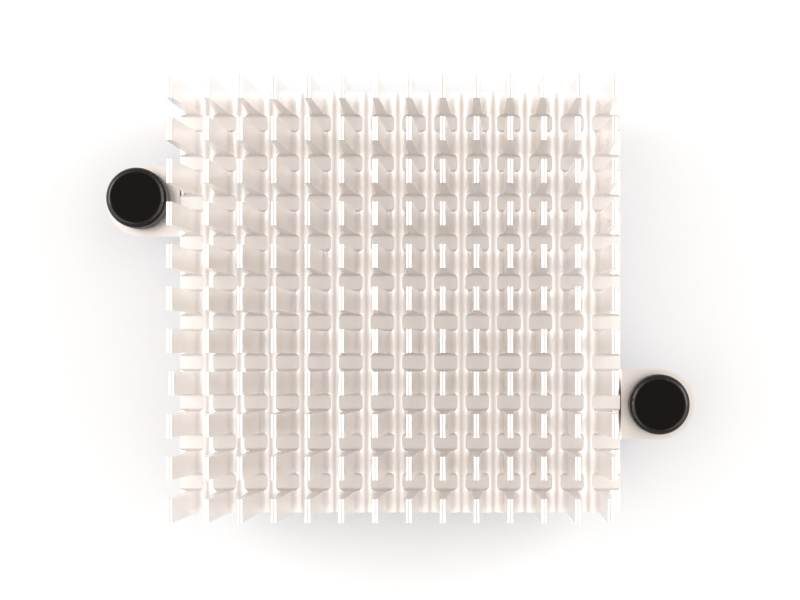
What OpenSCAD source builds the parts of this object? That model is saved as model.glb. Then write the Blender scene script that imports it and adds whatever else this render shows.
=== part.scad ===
// Pin fin heat sink for a board-mounted chip.
// An aluminium section is extruded along Y, so every fin starts as one long tapered wall over round
// bottomed slots. Saw cuts along X then turn the walls into a field of flat pins. Milling the side
// flanges away leaves two round ended ears, and each ear holds a black nylon push pin.
// Origin: middle of the base's underside, which is the face that meets the chip. +Z is up the pins.

/* [Fins] */
// Number of fins across the width
fin_count = 14; // [4:1:20]
// Centre to centre distance of the fins at their roots
fin_pitch = 3.39; // [3:0.01:5]
// Height of the fins above the bottom of the slots
fin_h = 13; // [8:0.5:30]
// Thickness of a fin at its tip, which is fully rounded
fin_tip_t = 0.63; // [0.4:0.01:0.9]
// Radius of the round bottom of each slot
slot_r = 1.13; // [0.8:0.01:1.2]
// How far the tips of the two end fins lean outwards
end_splay = 0.29; // [0:0.01:0.5]
// Sideways offset of the whole fin field from the middle of the milled base
fin_shift = -0.2; // [-0.3:0.01:0.3]

/* [Saw cuts] */
// Number of pins that each fin is cut into
pin_rows = 11; // [8:1:20]
// Length of a pin along its fin
pin_l = 2.34; // [1.5:0.01:5]
// Width of a saw cut
cut_w = 1.92; // [1.2:0.01:3]
// Height of a saw cut's floor above the bottom of the slots
cut_rise = 0.08; // [0.05:0.01:0.3]
// Radius in the bottom corners of a saw cut
cut_corner_r = 0.4; // [0.1:0.05:0.55]

/* [Base] */
// Thickness of the base under the slots
base_t = 3; // [2.5:0.1:6]
// Distance from the root centre of an end fin to the milled side of the base
side_margin = 1.56; // [1.5:0.01:4]
// Height of the side ledges above the bottom of the slots
ledge_rise = 0.25; // [0.1:0.01:0.6]
// Radius between an end fin's outer flank and its ledge
flank_r = 0.6; // [0.2:0.05:0.6]
// Radius on the long upper edges of the base
edge_r = 0.3; // [0.1:0.05:0.3]

/* [Ears] */
// Width of an ear, and the diameter of its round end
ear_w = 7.5; // [7:0.1:10]
// Thickness of an ear
ear_t = 2; // [1:0.1:2.4]
// Height of the ears' undersides above the contact face
ear_lift = 0.4; // [0:0.1:0.8]
// Distance from the side of the base to the centre of an ear's hole
ear_reach = 4.25; // [4:0.05:10]
// Distance of each ear's centre line from the middle of the base
ear_offset = 10.9; // [0:0.01:14]
// Radius between an ear's top and the side of the base, where that side is high enough for it
ear_root_r = 0.15; // [0.05:0.05:0.4]
// Radial clearance of a push pin's shank in its ear
shank_clearance = 0.25; // [0.1:0.01:0.4]

/* [Push pins] */
// Diameter of the head
head_d = 6.4; // [5.8:0.1:7]
// Height of the head
head_h = 3; // [1.8:0.1:4]
// Radius of the rounded edge between the head's flat top and its side
head_edge_r = 0.6; // [0.1:0.05:1]
// Radius of the rounded lip under the head's rim
head_lip_r = 0.25; // [0.1:0.05:0.4]
// Diameter of the shank
shank_d = 3; // [2.4:0.1:4]
// Height of the chip's top above the board
chip_h = 2.3; // [1:0.1:4]
// Thickness of the board that the pins snap through
board_t = 1.6; // [0.8:0.1:2.4]
// Play between the barbs and the underside of the board
snap_play = 0.1; // [0:0.05:0.5]
// How far a barb stands out from the shank
barb_out = 0.45; // [0.2:0.05:0.8]
// Length of the tapered barbs
barb_l = 2.5; // [1.5:0.1:4]
// Diameter of the tip of the barbs
tip_d = 2; // [1.6:0.1:2.2]
// Width of the slot that lets the barbs spring inwards
split_w = 0.8; // [0.4:0.1:1.2]
// Solid length of shank that is left between the ear's underside and the slot
split_start = 1.2; // [0.5:0.1:2]

/* [Hidden] */
$fn = 96;
margin = 1;
// A flank runs this far inside the rounds at its foot and tip, so that it crosses them cleanly
flank_bite = 0.002;

// Where each push pin stands in its hole, left then right, as a share of the clearance in X and Y
pin_seat = [[-0.34, 0.76], [-0.8, 0.08]];

// Pins that were knocked out of line: [row from the back, fin from the left, tip shift x, tip shift y]
bent_pins = [[0, 3, 0, -0.12], [0, 11, -0.1, 0], [0, 12, 0.15, 0], [7, 0, 0.2, 0], [10, 13, -0.4, 0]];

last_fin = fin_count - 1;
base_w = last_fin * fin_pitch + 2 * side_margin;
row_pitch = pin_l + cut_w;
base_d = pin_rows * row_pitch - cut_w;
fin_top = base_t + fin_h;
ledge_z = base_t + ledge_rise;
slot_centre_z = base_t + slot_r;
tip_half = fin_tip_t / 2;
tip_round_z = fin_top - tip_half;
flank_top_half = tip_half - flank_bite;
root_half = fin_pitch / 2 - slot_r;
ear_top = ear_lift + ear_t;
ear_x = base_w / 2 + ear_reach;
hole_d = shank_d + 2 * shank_clearance;
ear_root_fillet = min(ear_root_r, ledge_z - edge_r - ear_top);
ear_blank_h = max(ledge_z, ear_top);
shoulder_z = -(chip_h + board_t + snap_play);

function root_x(i) = fin_shift + (i - last_fin / 2) * fin_pitch;
function tip_x(i) = root_x(i) + (i == 0 ? -end_splay : i == last_fin ? end_splay : 0);
function row_y(j) = base_d / 2 - pin_l / 2 - j * row_pitch;

// Angle from the vertical of a flank that starts tangent to a round of radius r and ends where the
// fin's tip starts to curve, a distance w sideways and h upwards from the centre of that round
function flank_angle(w, h, r) = acos(r / norm([w, h])) - atan2(h, w);

// Point where such a flank leaves the round bottom
function flank_foot(w, h, r) = r * [cos(flank_angle(w, h, r)), -sin(flank_angle(w, h, r))];

// Slot between fins i and i + 1, drawn in X and Z about the centre of its round bottom
module slot_profile(i) {
    slot_x = (root_x(i) + root_x(i + 1)) / 2;
    h = tip_round_z - slot_centre_z;
    left_w = slot_x - tip_x(i) - flank_top_half;
    right_w = tip_x(i + 1) - flank_top_half - slot_x;
    left_foot = flank_foot(left_w, h, slot_r - flank_bite);
    right_foot = flank_foot(right_w, h, slot_r - flank_bite);
    translate([slot_x, slot_centre_z]) {
        circle(r = slot_r);
        polygon([
            [-left_foot[0], left_foot[1]], right_foot,
            [right_w, h], [right_w, h + margin],
            [-left_w, h + margin], [-left_w, h]
        ]);
    }
}

// Block that the slots are cut from, with the two ledges that run along its sides
module blank_profile() {
    left_root = root_x(0) - root_half;
    right_root = root_x(last_fin) + root_half;
    translate([-base_w / 2, 0])
        square([base_w, ledge_z - edge_r]);
    translate([-base_w / 2 + edge_r, 0])
        square([base_w - 2 * edge_r, ledge_z]);
    for (side = [-1, 1])
        translate([side * (base_w / 2 - edge_r), ledge_z - edge_r])
            circle(r = edge_r);
    polygon([
        [left_root, 0], [right_root, 0], [right_root, ledge_z],
        [tip_x(last_fin) + flank_top_half, tip_round_z],
        [tip_x(0) - flank_top_half, tip_round_z], [left_root, ledge_z]
    ]);
    corner_fillet(left_root, ledge_z, -1, flank_r);
    corner_fillet(right_root, ledge_z, 1, flank_r);
}

// Concave fillet in the corner of an upright wall and a ledge that runs to the given side of it
module corner_fillet(x, z, side, r) {
    difference() {
        translate([x - r, z - r])
            square(2 * r);
        translate([x + side * r, z + r])
            circle(r = r);
    }
}

// The whole extruded section
module section_profile() {
    difference() {
        blank_profile();
        for (i = [0 : last_fin - 1])
            slot_profile(i);
    }
    for (i = [0 : last_fin])
        translate([tip_x(i), tip_round_z])
            circle(r = tip_half);
}

// Extrudes a profile drawn in X and Z along Y, centred on y
module along_y(length, y = 0) {
    translate([0, y + length / 2, 0])
        rotate([90, 0, 0])
            linear_extrude(height = length)
                children();
}

// One saw cut along X, with the saw's rounded bottom corners
module saw_cut(y) {
    floor_z = base_t + cut_rise;
    half = cut_w / 2;
    translate([-base_w / 2 - margin, y, 0])
        rotate([90, 0, 90])
            linear_extrude(height = base_w + 2 * margin) {
                translate([-half, floor_z + cut_corner_r])
                    square([cut_w, fin_h + margin]);
                translate([cut_corner_r - half, floor_z])
                    square([cut_w - 2 * cut_corner_r, fin_h + margin]);
                for (side = [-1, 1])
                    translate([side * (half - cut_corner_r), floor_z + cut_corner_r])
                        circle(r = cut_corner_r);
            }
}

// Ear on one side of the base: a flange with a round end
module ear(side) {
    intersection() {
        along_y(ear_w, -side * ear_offset) {
            translate([side > 0 ? 0 : -ear_x - ear_w, ear_lift])
                square([ear_x + ear_w, ear_t]);
            if (ear_root_fillet > 0)
                corner_fillet(side * base_w / 2, ear_top, side, ear_root_fillet);
        }
        translate([0, -side * ear_offset, 0]) {
            translate([side > 0 ? 0 : -ear_x, -ear_w / 2, 0])
                cube([ear_x, ear_w, ear_blank_h]);
            translate([side * ear_x, 0, 0])
                cylinder(d = ear_w, h = ear_blank_h);
        }
    }
}

// Upper part of a pin whose tip is pushed sideways by lean, above the height bend_z
module bent_pin(row, fin, lean) {
    bend_z = slot_centre_z + slot_r;
    fade = (tip_round_z - bend_z) / (tip_round_z - slot_centre_z);
    tip = tip_x(fin);
    foot = tip + (root_x(fin) - tip) * fade;
    foot_half = tip_half + (root_half - tip_half) * fade;
    intersection() {
        along_y(pin_l + 2 * margin, row_y(row)) {
            polygon([
                [foot - foot_half, bend_z], [foot + foot_half, bend_z],
                [tip + flank_top_half + lean[0], tip_round_z],
                [tip - flank_top_half + lean[0], tip_round_z]
            ]);
            translate([tip + lean[0], tip_round_z])
                circle(r = tip_half);
        }
        translate([tip - fin_pitch / 2, row_y(row), 0])
            rotate([90, 0, 90])
                linear_extrude(height = fin_pitch)
                    polygon([
                        [-pin_l / 2, bend_z], [pin_l / 2, bend_z],
                        [pin_l / 2 + lean[1], fin_top], [-pin_l / 2 + lean[1], fin_top]
                    ]);
    }
}

// Clears the straight pin away where a bent one stands
module bent_pin_space(row, fin) {
    translate([root_x(fin), row_y(row), slot_centre_z + slot_r + fin_h / 2])
        cube([fin_pitch - 2 * tip_half, row_pitch, fin_h], center = true);
}

module heat_sink() {
    color([0.86, 0.84, 0.81]) {
        difference() {
            union() {
                along_y(base_d)
                    section_profile();
                ear(-1);
                ear(1);
            }
            for (j = [0 : pin_rows - 2])
                saw_cut((row_y(j) + row_y(j + 1)) / 2);
            for (b = bent_pins)
                if (b[0] < pin_rows && b[1] < fin_count)
                    bent_pin_space(b[0], b[1]);
            for (side = [-1, 1])
                translate([side * ear_x, -side * ear_offset, -margin])
                    cylinder(d = hole_d, h = ledge_z + 2 * margin);
        }
        for (b = bent_pins)
            if (b[0] < pin_rows && b[1] < fin_count)
                bent_pin(b[0], b[1], [b[2], b[3]]);
    }
}

// Push pin on the Z axis with the underside of its head at the height ear_top
module push_pin() {
    shank_r = shank_d / 2;
    head_r = head_d / 2;
    head_top = ear_top + head_h;
    lip = [head_r - head_lip_r, ear_top + head_lip_r];
    edge = [head_r - head_edge_r, head_top - head_edge_r];
    tip_z = shoulder_z - barb_l;
    color([0.12, 0.11, 0.11])
        difference() {
            rotate_extrude() {
                polygon([
                    [0, tip_z], [tip_d / 2, tip_z],
                    [shank_r + barb_out, shoulder_z], [shank_r, shoulder_z],
                    [shank_r, ear_top], [lip[0], ear_top], lip, [head_r, lip[1]],
                    [head_r, edge[1]], edge, [edge[0], head_top], [0, head_top]
                ]);
                intersection() {
                    translate(lip)
                        circle(r = head_lip_r);
                    translate([lip[0], ear_top])
                        square(head_lip_r);
                }
                intersection() {
                    translate(edge)
                        circle(r = head_edge_r);
                    translate(edge)
                        square(head_edge_r);
                }
            }
            // Slot between the two legs, and flats that leave the barbs on two sides only
            translate([-head_r, -split_w / 2, tip_z - margin])
                cube([head_d, split_w, ear_lift - split_start - tip_z + margin]);
            for (side = [-1, 1])
                translate([side > 0 ? shank_r : -shank_r - margin, -head_r, tip_z - margin])
                    cube([margin, head_d, shoulder_z - tip_z + 2 * margin]);
        }
}

module push_pin_left() {
    translate([-ear_x, ear_offset, 0])
        translate(shank_clearance * pin_seat[0])
            push_pin();
}

module push_pin_right() {
    translate([ear_x, -ear_offset, 0])
        translate(shank_clearance * pin_seat[1])
            push_pin();
}

heat_sink();
push_pin_left();
push_pin_right();
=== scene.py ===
import math

import bmesh
import bpy
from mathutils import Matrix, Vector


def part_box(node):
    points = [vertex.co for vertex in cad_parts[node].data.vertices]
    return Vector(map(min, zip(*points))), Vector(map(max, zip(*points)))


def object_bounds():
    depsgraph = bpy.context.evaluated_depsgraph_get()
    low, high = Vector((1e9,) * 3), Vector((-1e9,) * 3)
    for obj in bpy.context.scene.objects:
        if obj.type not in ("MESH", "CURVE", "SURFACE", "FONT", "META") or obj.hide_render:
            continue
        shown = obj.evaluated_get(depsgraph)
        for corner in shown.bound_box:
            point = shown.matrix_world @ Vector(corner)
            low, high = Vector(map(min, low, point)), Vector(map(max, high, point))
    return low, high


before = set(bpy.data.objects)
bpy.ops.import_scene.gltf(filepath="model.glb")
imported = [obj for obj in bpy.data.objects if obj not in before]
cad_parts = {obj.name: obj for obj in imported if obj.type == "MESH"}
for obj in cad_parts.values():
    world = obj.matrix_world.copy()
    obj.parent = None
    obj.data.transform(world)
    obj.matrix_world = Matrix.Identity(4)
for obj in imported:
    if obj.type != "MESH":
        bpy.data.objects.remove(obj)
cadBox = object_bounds()

mm = 0.001


def linear(hexColour):  # sRGB hex to the linear values that sockets take
    digits = hexColour.lstrip("#")
    parts = [int(digits[i:i + 2], 16) / 255 for i in (0, 2, 4)]
    return [p / 12.92 if p <= 0.04045 else ((p + 0.055) / 1.055) ** 2.4 for p in parts] + [1.0]


def addNode(tree, kind, inputs=None, **settings):
    made = tree.nodes.new(kind)
    for name, value in settings.items():
        setattr(made, name, value)
    for key, value in (inputs or {}).items():
        if isinstance(value, bpy.types.NodeSocket):
            tree.links.new(value, made.inputs[key])
        else:
            made.inputs[key].default_value = value
    return made


def newMaterial(name):
    material = bpy.data.materials.new(name)
    material.use_nodes = True
    material.node_tree.nodes.clear()
    return material, material.node_tree


# The camera looks straight down and is shifted, not tilted, so the rows of pins stay parallel
camera = {
    "x": 9.63 * mm,
    "y": -6.47 * mm,
    "aboveTips": 184 * mm,
    "lens": 82.7,  # focal length in mm
    "shiftX": -0.1125,  # both shifts are shares of the picture's width
    "shiftY": 0.0788,
    "nearest": 5 * mm,
    "farthest": 20.0,
}


def makeCamera(s):
    data = bpy.data.cameras.new("camera")
    data.lens = s["lens"]
    data.shift_x = s["shiftX"]
    data.shift_y = s["shiftY"]
    data.clip_start = s["nearest"]
    data.clip_end = s["farthest"]
    made = bpy.data.objects.new("camera", data)
    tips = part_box("heat_sink")[1].z
    made.location = (s["x"], s["y"], tips + s["aboveTips"])
    bpy.context.scene.collection.objects.link(made)
    bpy.context.scene.camera = made


makeCamera(camera)
print("camera placed")

# A large panel and a small, strong strip stand on each side, in a warm room, over white paper
studio = {
    "paperColour": "#F1F4F8",  # a little cool, against the warm room
    "floorSize": 6.0,
    "floorGap": 0.02 * mm,
    "horizonColour": "#A09890",
    "wallColour": "#BCB2A8",
    "ceilingColour": "#CABFB5",
    "wallAt": 0.3,  # sine of the height above the horizon
    "panelRadiance": 1.04,
    "panelSize": (1.1, 0.9),
    "panelDistance": 0.5,
    "panelHeight": 0.42,
    "stripRadiance": 4.0,
    "stripSize": (0.3, 0.2),
    "stripNearer": 0.9,  # share of the panel's distance and height
    "stripBack": 0.12,
    "bounces": 24,  # light finds its way out of the pins only after many reflections
}


def softbox(name, place, size, radiance):
    data = bpy.data.lights.new(name, "AREA")
    data.shape = "RECTANGLE"
    data.size, data.size_y = size
    data.energy = radiance * math.pi * size[0] * size[1]
    made = bpy.data.objects.new(name, data)
    made.location = place
    made.rotation_euler = (-made.location).to_track_quat("-Z", "Y").to_euler()  # faces the heat sink
    bpy.context.scene.collection.objects.link(made)


def makeFloor(s):
    mesh = bpy.data.meshes.new("floor")
    shape = bmesh.new()
    bmesh.ops.create_grid(shape, x_segments=1, y_segments=1, size=s["floorSize"] / 2)
    bmesh.ops.translate(shape, vec=(0, 0, cadBox[0].z - s["floorGap"]), verts=shape.verts)
    shape.to_mesh(mesh)
    shape.free()
    floor = bpy.data.objects.new("floor", mesh)
    bpy.context.scene.collection.objects.link(floor)
    material, tree = newMaterial("matt white paper")
    paper = addNode(tree, "ShaderNodeBsdfDiffuse", {"Color": linear(s["paperColour"])})
    addNode(tree, "ShaderNodeOutputMaterial", {"Surface": paper.outputs[0]})
    mesh.materials.append(material)


def makeWorld(s):
    world = bpy.data.worlds.new("studio")
    bpy.context.scene.world = world
    world.use_nodes = True
    tree = world.node_tree
    tree.nodes.clear()
    place = addNode(tree, "ShaderNodeTexCoord")
    axes = addNode(tree, "ShaderNodeSeparateXYZ", {0: place.outputs["Generated"]})
    ramp = addNode(tree, "ShaderNodeValToRGB", {0: axes.outputs["Z"]})
    stops = ramp.color_ramp.elements
    stops[0].color = linear(s["horizonColour"])
    stops[1].color = linear(s["ceilingColour"])
    stops.new(s["wallAt"]).color = linear(s["wallColour"])
    air = addNode(tree, "ShaderNodeBackground", {"Color": ramp.outputs[0], "Strength": 1.0})
    addNode(tree, "ShaderNodeOutputWorld", {"Surface": air.outputs[0]})


def makeStudio(s):
    makeFloor(s)
    makeWorld(s)
    near = s["stripNearer"]
    for name, side in (("left", -1), ("right", 1)):
        x, z = side * s["panelDistance"], s["panelHeight"]
        softbox(name + " panel", (x, 0, z), s["panelSize"], s["panelRadiance"])
        stripPlace = (x * near, s["stripBack"], z * near)
        softbox(name + " strip", stripPlace, s["stripSize"], s["stripRadiance"])
    scene = bpy.context.scene
    scene.view_settings.view_transform = "Standard"
    scene.cycles.max_bounces = s["bounces"]
    scene.cycles.glossy_bounces = s["bounces"]


makeStudio(studio)
print("studio lit")

aluminium = {
    "colour": "#FEFCFB",
    "metallic": 1.0,
    "roughness": 0.3,
    "slotRoughness": 0.41,  # the sawn pads and the slots' bottoms, where the bath is renewed least
    "slotStart": 2.8 * mm,  # under the slots' bottoms and over the ears
    "slotFacing": (0.1, 0.5),  # how far a face looks up, from a fin's side to a slot's bottom
    "stainColour": "#FDFBF9",
    "stainSize": 7 * mm,
    "stainDetail": 4.0,  # octaves, as for the other patterns
    "stainEdge": (0.35, 0.7),  # where a stain starts and where it is full
    "stainRoughness": 0.05,
    "dieLineWidth": 0.16 * mm,  # a die's own lines are finer, and these are drawn to show
    "dieLineLength": 30 * mm,
    "dieLineDetail": 3.0,
    "dieLineDepth": 0.004 * mm,
    "sawLineWidth": 0.22 * mm,  # drawn about twice as coarse as a saw leaves them, for the same reason
    "sawLineLength": 5 * mm,
    "sawLineDetail": 2.0,
    "sawLineDepth": 0.006 * mm,
    "sawLineTilt": 38,  # degrees
    "sawnFacing": (0.6, 0.8),  # how squarely a face stands across the fins before it is a sawn one
    "grainSize": 0.12 * mm,  # etching pits, also drawn coarser than they are
    "grainDetail": 2.0,
    "grainDepth": 0.0012 * mm,
    "tipDepth": 0.3 * mm,
    "tipFlatness": 0.4,  # 0 leaves the crown round
}


# Etched extruded aluminium: a metal whose caustic bath leaves a silky grey-white, with long die lines
# down the fins and slanting lines from the saw on every cut face
def makeAluminium(s):
    material, tree = newMaterial("etched extruded aluminium")
    place = addNode(tree, "ShaderNodeTexCoord")
    where = place.outputs["Object"]
    facing = addNode(tree, "ShaderNodeSeparateXYZ", {0: place.outputs["Normal"]})

    def streaks(lengths, detail, turn=(0, 0, 0)):  # specks drawn out to a length along each axis
        turned = addNode(tree, "ShaderNodeMapping", {"Vector": where, "Rotation": turn})
        sized = addNode(tree, "ShaderNodeVectorMath", {
            0: turned.outputs[0], 1: [1 / length for length in lengths]}, operation="MULTIPLY")
        specks = addNode(tree, "ShaderNodeTexNoise", {
            "Vector": sized.outputs[0], "Scale": 1.0, "Detail": detail})
        return specks.outputs["Fac"]

    fine = s["dieLineWidth"]
    dieLines = streaks((fine, s["dieLineLength"], fine), s["dieLineDetail"])
    sawLengths = (s["sawLineWidth"], s["sawLineLength"], s["sawLineLength"])
    sawLines = streaks(sawLengths, s["sawLineDetail"], (0, math.radians(s["sawLineTilt"]), 0))
    stains = streaks((s["stainSize"],) * 3, s["stainDetail"])
    grain = streaks((s["grainSize"],) * 3, s["grainDetail"])

    # Saw lines on the cut faces and die lines elsewhere, both over the bath's fine grain
    squarely = addNode(tree, "ShaderNodeMath", {0: facing.outputs["Y"]}, operation="ABSOLUTE")
    sawn = addNode(tree, "ShaderNodeMapRange", {
        "Value": squarely.outputs[0], "From Min": s["sawnFacing"][0], "From Max": s["sawnFacing"][1]},
        interpolation_type="SMOOTHSTEP")
    lines = addNode(tree, "ShaderNodeMix", {"Factor": sawn.outputs[0], "A": dieLines, "B": sawLines})
    depth = addNode(tree, "ShaderNodeMix", {
        "Factor": sawn.outputs[0], "A": s["dieLineDepth"], "B": s["sawLineDepth"]})
    marks = addNode(tree, "ShaderNodeMath", {
        0: lines.outputs[0], 1: depth.outputs[0]}, operation="MULTIPLY")
    relief = addNode(tree, "ShaderNodeMath", {
        0: grain, 1: s["grainDepth"], 2: marks.outputs[0]}, operation="MULTIPLY_ADD")
    bump = addNode(tree, "ShaderNodeBump", {
        "Height": relief.outputs[0], "Distance": 1.0, "Strength": 1.0})

    # Wear has flattened the crown of each fin's tip, so its shading turns over late, near the two edges
    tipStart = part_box("heat_sink")[1].z - s["tipDepth"]
    height = addNode(tree, "ShaderNodeSeparateXYZ", {0: where})
    onTip = addNode(tree, "ShaderNodeMath", {
        0: height.outputs["Z"], 1: tipStart}, operation="GREATER_THAN")
    bumped = addNode(tree, "ShaderNodeSeparateXYZ", {0: bump.outputs[0]})
    lean = addNode(tree, "ShaderNodeMath", {0: bumped.outputs["X"]}, operation="ABSOLUTE")
    late = addNode(tree, "ShaderNodeMath", {0: lean.outputs[0], 1: s["tipFlatness"]}, operation="POWER")
    keep = addNode(tree, "ShaderNodeMix", {"Factor": onTip.outputs[0], "A": 1.0, "B": late.outputs[0]})
    across = addNode(tree, "ShaderNodeMath", {
        0: bumped.outputs["X"], 1: keep.outputs[0]}, operation="MULTIPLY")
    turned = addNode(tree, "ShaderNodeCombineXYZ", {
        "X": across.outputs[0], "Y": bumped.outputs["Y"], "Z": bumped.outputs["Z"]})
    normal = addNode(tree, "ShaderNodeVectorMath", {0: turned.outputs[0]}, operation="NORMALIZE")

    # Faint stains everywhere, and a duller finish between the pins than on their sides
    patch = addNode(tree, "ShaderNodeMapRange", {
        "Value": stains, "From Min": s["stainEdge"][0], "From Max": s["stainEdge"][1]})
    colour = addNode(tree, "ShaderNodeMix", {
        "Factor": patch.outputs[0], "A": linear(s["colour"]), "B": linear(s["stainColour"])},
        data_type="RGBA")
    upward = addNode(tree, "ShaderNodeMapRange", {
        "Value": facing.outputs["Z"], "From Min": s["slotFacing"][0], "From Max": s["slotFacing"][1]},
        interpolation_type="SMOOTHSTEP")
    amongPins = addNode(tree, "ShaderNodeMath", {
        0: height.outputs["Z"], 1: (tipStart + s["slotStart"]) / 2, 2: (tipStart - s["slotStart"]) / 2},
        operation="COMPARE")
    inSlot = addNode(tree, "ShaderNodeMath", {
        0: upward.outputs[0], 1: amongPins.outputs[0]}, operation="MULTIPLY")
    finish = addNode(tree, "ShaderNodeMix", {
        "Factor": inSlot.outputs[0], "A": s["roughness"], "B": s["slotRoughness"]})
    rough = addNode(tree, "ShaderNodeMath", {
        0: patch.outputs[0], 1: s["stainRoughness"], 2: finish.outputs[0]}, operation="MULTIPLY_ADD")
    metal = addNode(tree, "ShaderNodeBsdfPrincipled", {
        "Base Color": colour.outputs["Result"], "Metallic": s["metallic"],
        "Roughness": rough.outputs[0], "Normal": normal.outputs[0]})
    addNode(tree, "ShaderNodeOutputMaterial", {"Surface": metal.outputs[0]})
    return material


nylon = {
    "colour": "#0C0908",
    "ior": 1.53,
    "specular": 0.08,  # the mould's texture swallows most of the shine
    "roughness": 0.3,
    "topFacing": (0.97, 0.999),  # how far a face looks up, from the rounded shoulder to the flat top
    "topRoughness": 0.2,  # on top of the plain roughness
    "textureSize": 0.14 * mm,  # spark-eroded mould texture, drawn a little coarse so that it shows
    "textureDetail": 1.0,
    "textureDepth": 0.004 * mm,
    "shoulderFacing": (0.5, 0.8),  # the same, from the upright side to the shoulder
    "shoulderRoughness": 0.12,
    "rubSize": 1.5 * mm,  # patches that handling has rubbed
    "rubDetail": 3.0,
    "rubRoughness": 0.12,
}


# Moulded black nylon: the mould's flat face is finely textured and dull, its rounded edge is smoother
# and catches a thin line of light
def makeNylon(s):
    material, tree = newMaterial("moulded black nylon")
    place = addNode(tree, "ShaderNodeTexCoord")
    where = place.outputs["Object"]
    facing = addNode(tree, "ShaderNodeSeparateXYZ", {0: place.outputs["Normal"]})
    flat = addNode(tree, "ShaderNodeMapRange", {
        "Value": facing.outputs["Z"], "From Min": s["topFacing"][0], "From Max": s["topFacing"][1]},
        interpolation_type="SMOOTHSTEP")
    rounded = addNode(tree, "ShaderNodeMapRange", {
        "Value": facing.outputs["Z"],
        "From Min": s["shoulderFacing"][0], "From Max": s["shoulderFacing"][1]},
        interpolation_type="SMOOTHSTEP")
    shoulder = addNode(tree, "ShaderNodeMath", {
        0: rounded.outputs[0], 1: flat.outputs[0]}, operation="SUBTRACT")

    texture = addNode(tree, "ShaderNodeTexNoise", {
        "Vector": where, "Scale": 1 / s["textureSize"], "Detail": s["textureDetail"]})
    depth = addNode(tree, "ShaderNodeMath", {
        0: flat.outputs[0], 1: s["textureDepth"]}, operation="MULTIPLY")
    height = addNode(tree, "ShaderNodeMath", {
        0: texture.outputs["Fac"], 1: depth.outputs[0]}, operation="MULTIPLY")
    bump = addNode(tree, "ShaderNodeBump", {
        "Height": height.outputs[0], "Distance": 1.0, "Strength": 1.0})

    rubs = addNode(tree, "ShaderNodeTexNoise", {
        "Vector": where, "Scale": 1 / s["rubSize"], "Detail": s["rubDetail"]})
    dull = addNode(tree, "ShaderNodeMath", {
        0: flat.outputs[0], 1: s["topRoughness"], 2: s["roughness"]}, operation="MULTIPLY_ADD")
    rough = addNode(tree, "ShaderNodeMath", {
        0: rubs.outputs["Fac"], 1: s["rubRoughness"], 2: dull.outputs[0]}, operation="MULTIPLY_ADD")
    plastic = addNode(tree, "ShaderNodeBsdfPrincipled", {
        "Base Color": linear(s["colour"]), "Roughness": rough.outputs[0], "IOR": s["ior"],
        "Specular IOR Level": s["specular"], "Coat Weight": shoulder.outputs[0],
        "Coat Roughness": s["shoulderRoughness"], "Normal": bump.outputs[0]})
    addNode(tree, "ShaderNodeOutputMaterial", {"Surface": plastic.outputs[0]})
    return material


def dress(name, material):
    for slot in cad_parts[name].material_slots:
        slot.material = material


metalSkin = makeAluminium(aluminium)
pinSkin = makeNylon(nylon)
dress("heat_sink", metalSkin)
dress("push_pin_left", pinSkin)
dress("push_pin_right", pinSkin)
print("materials made")
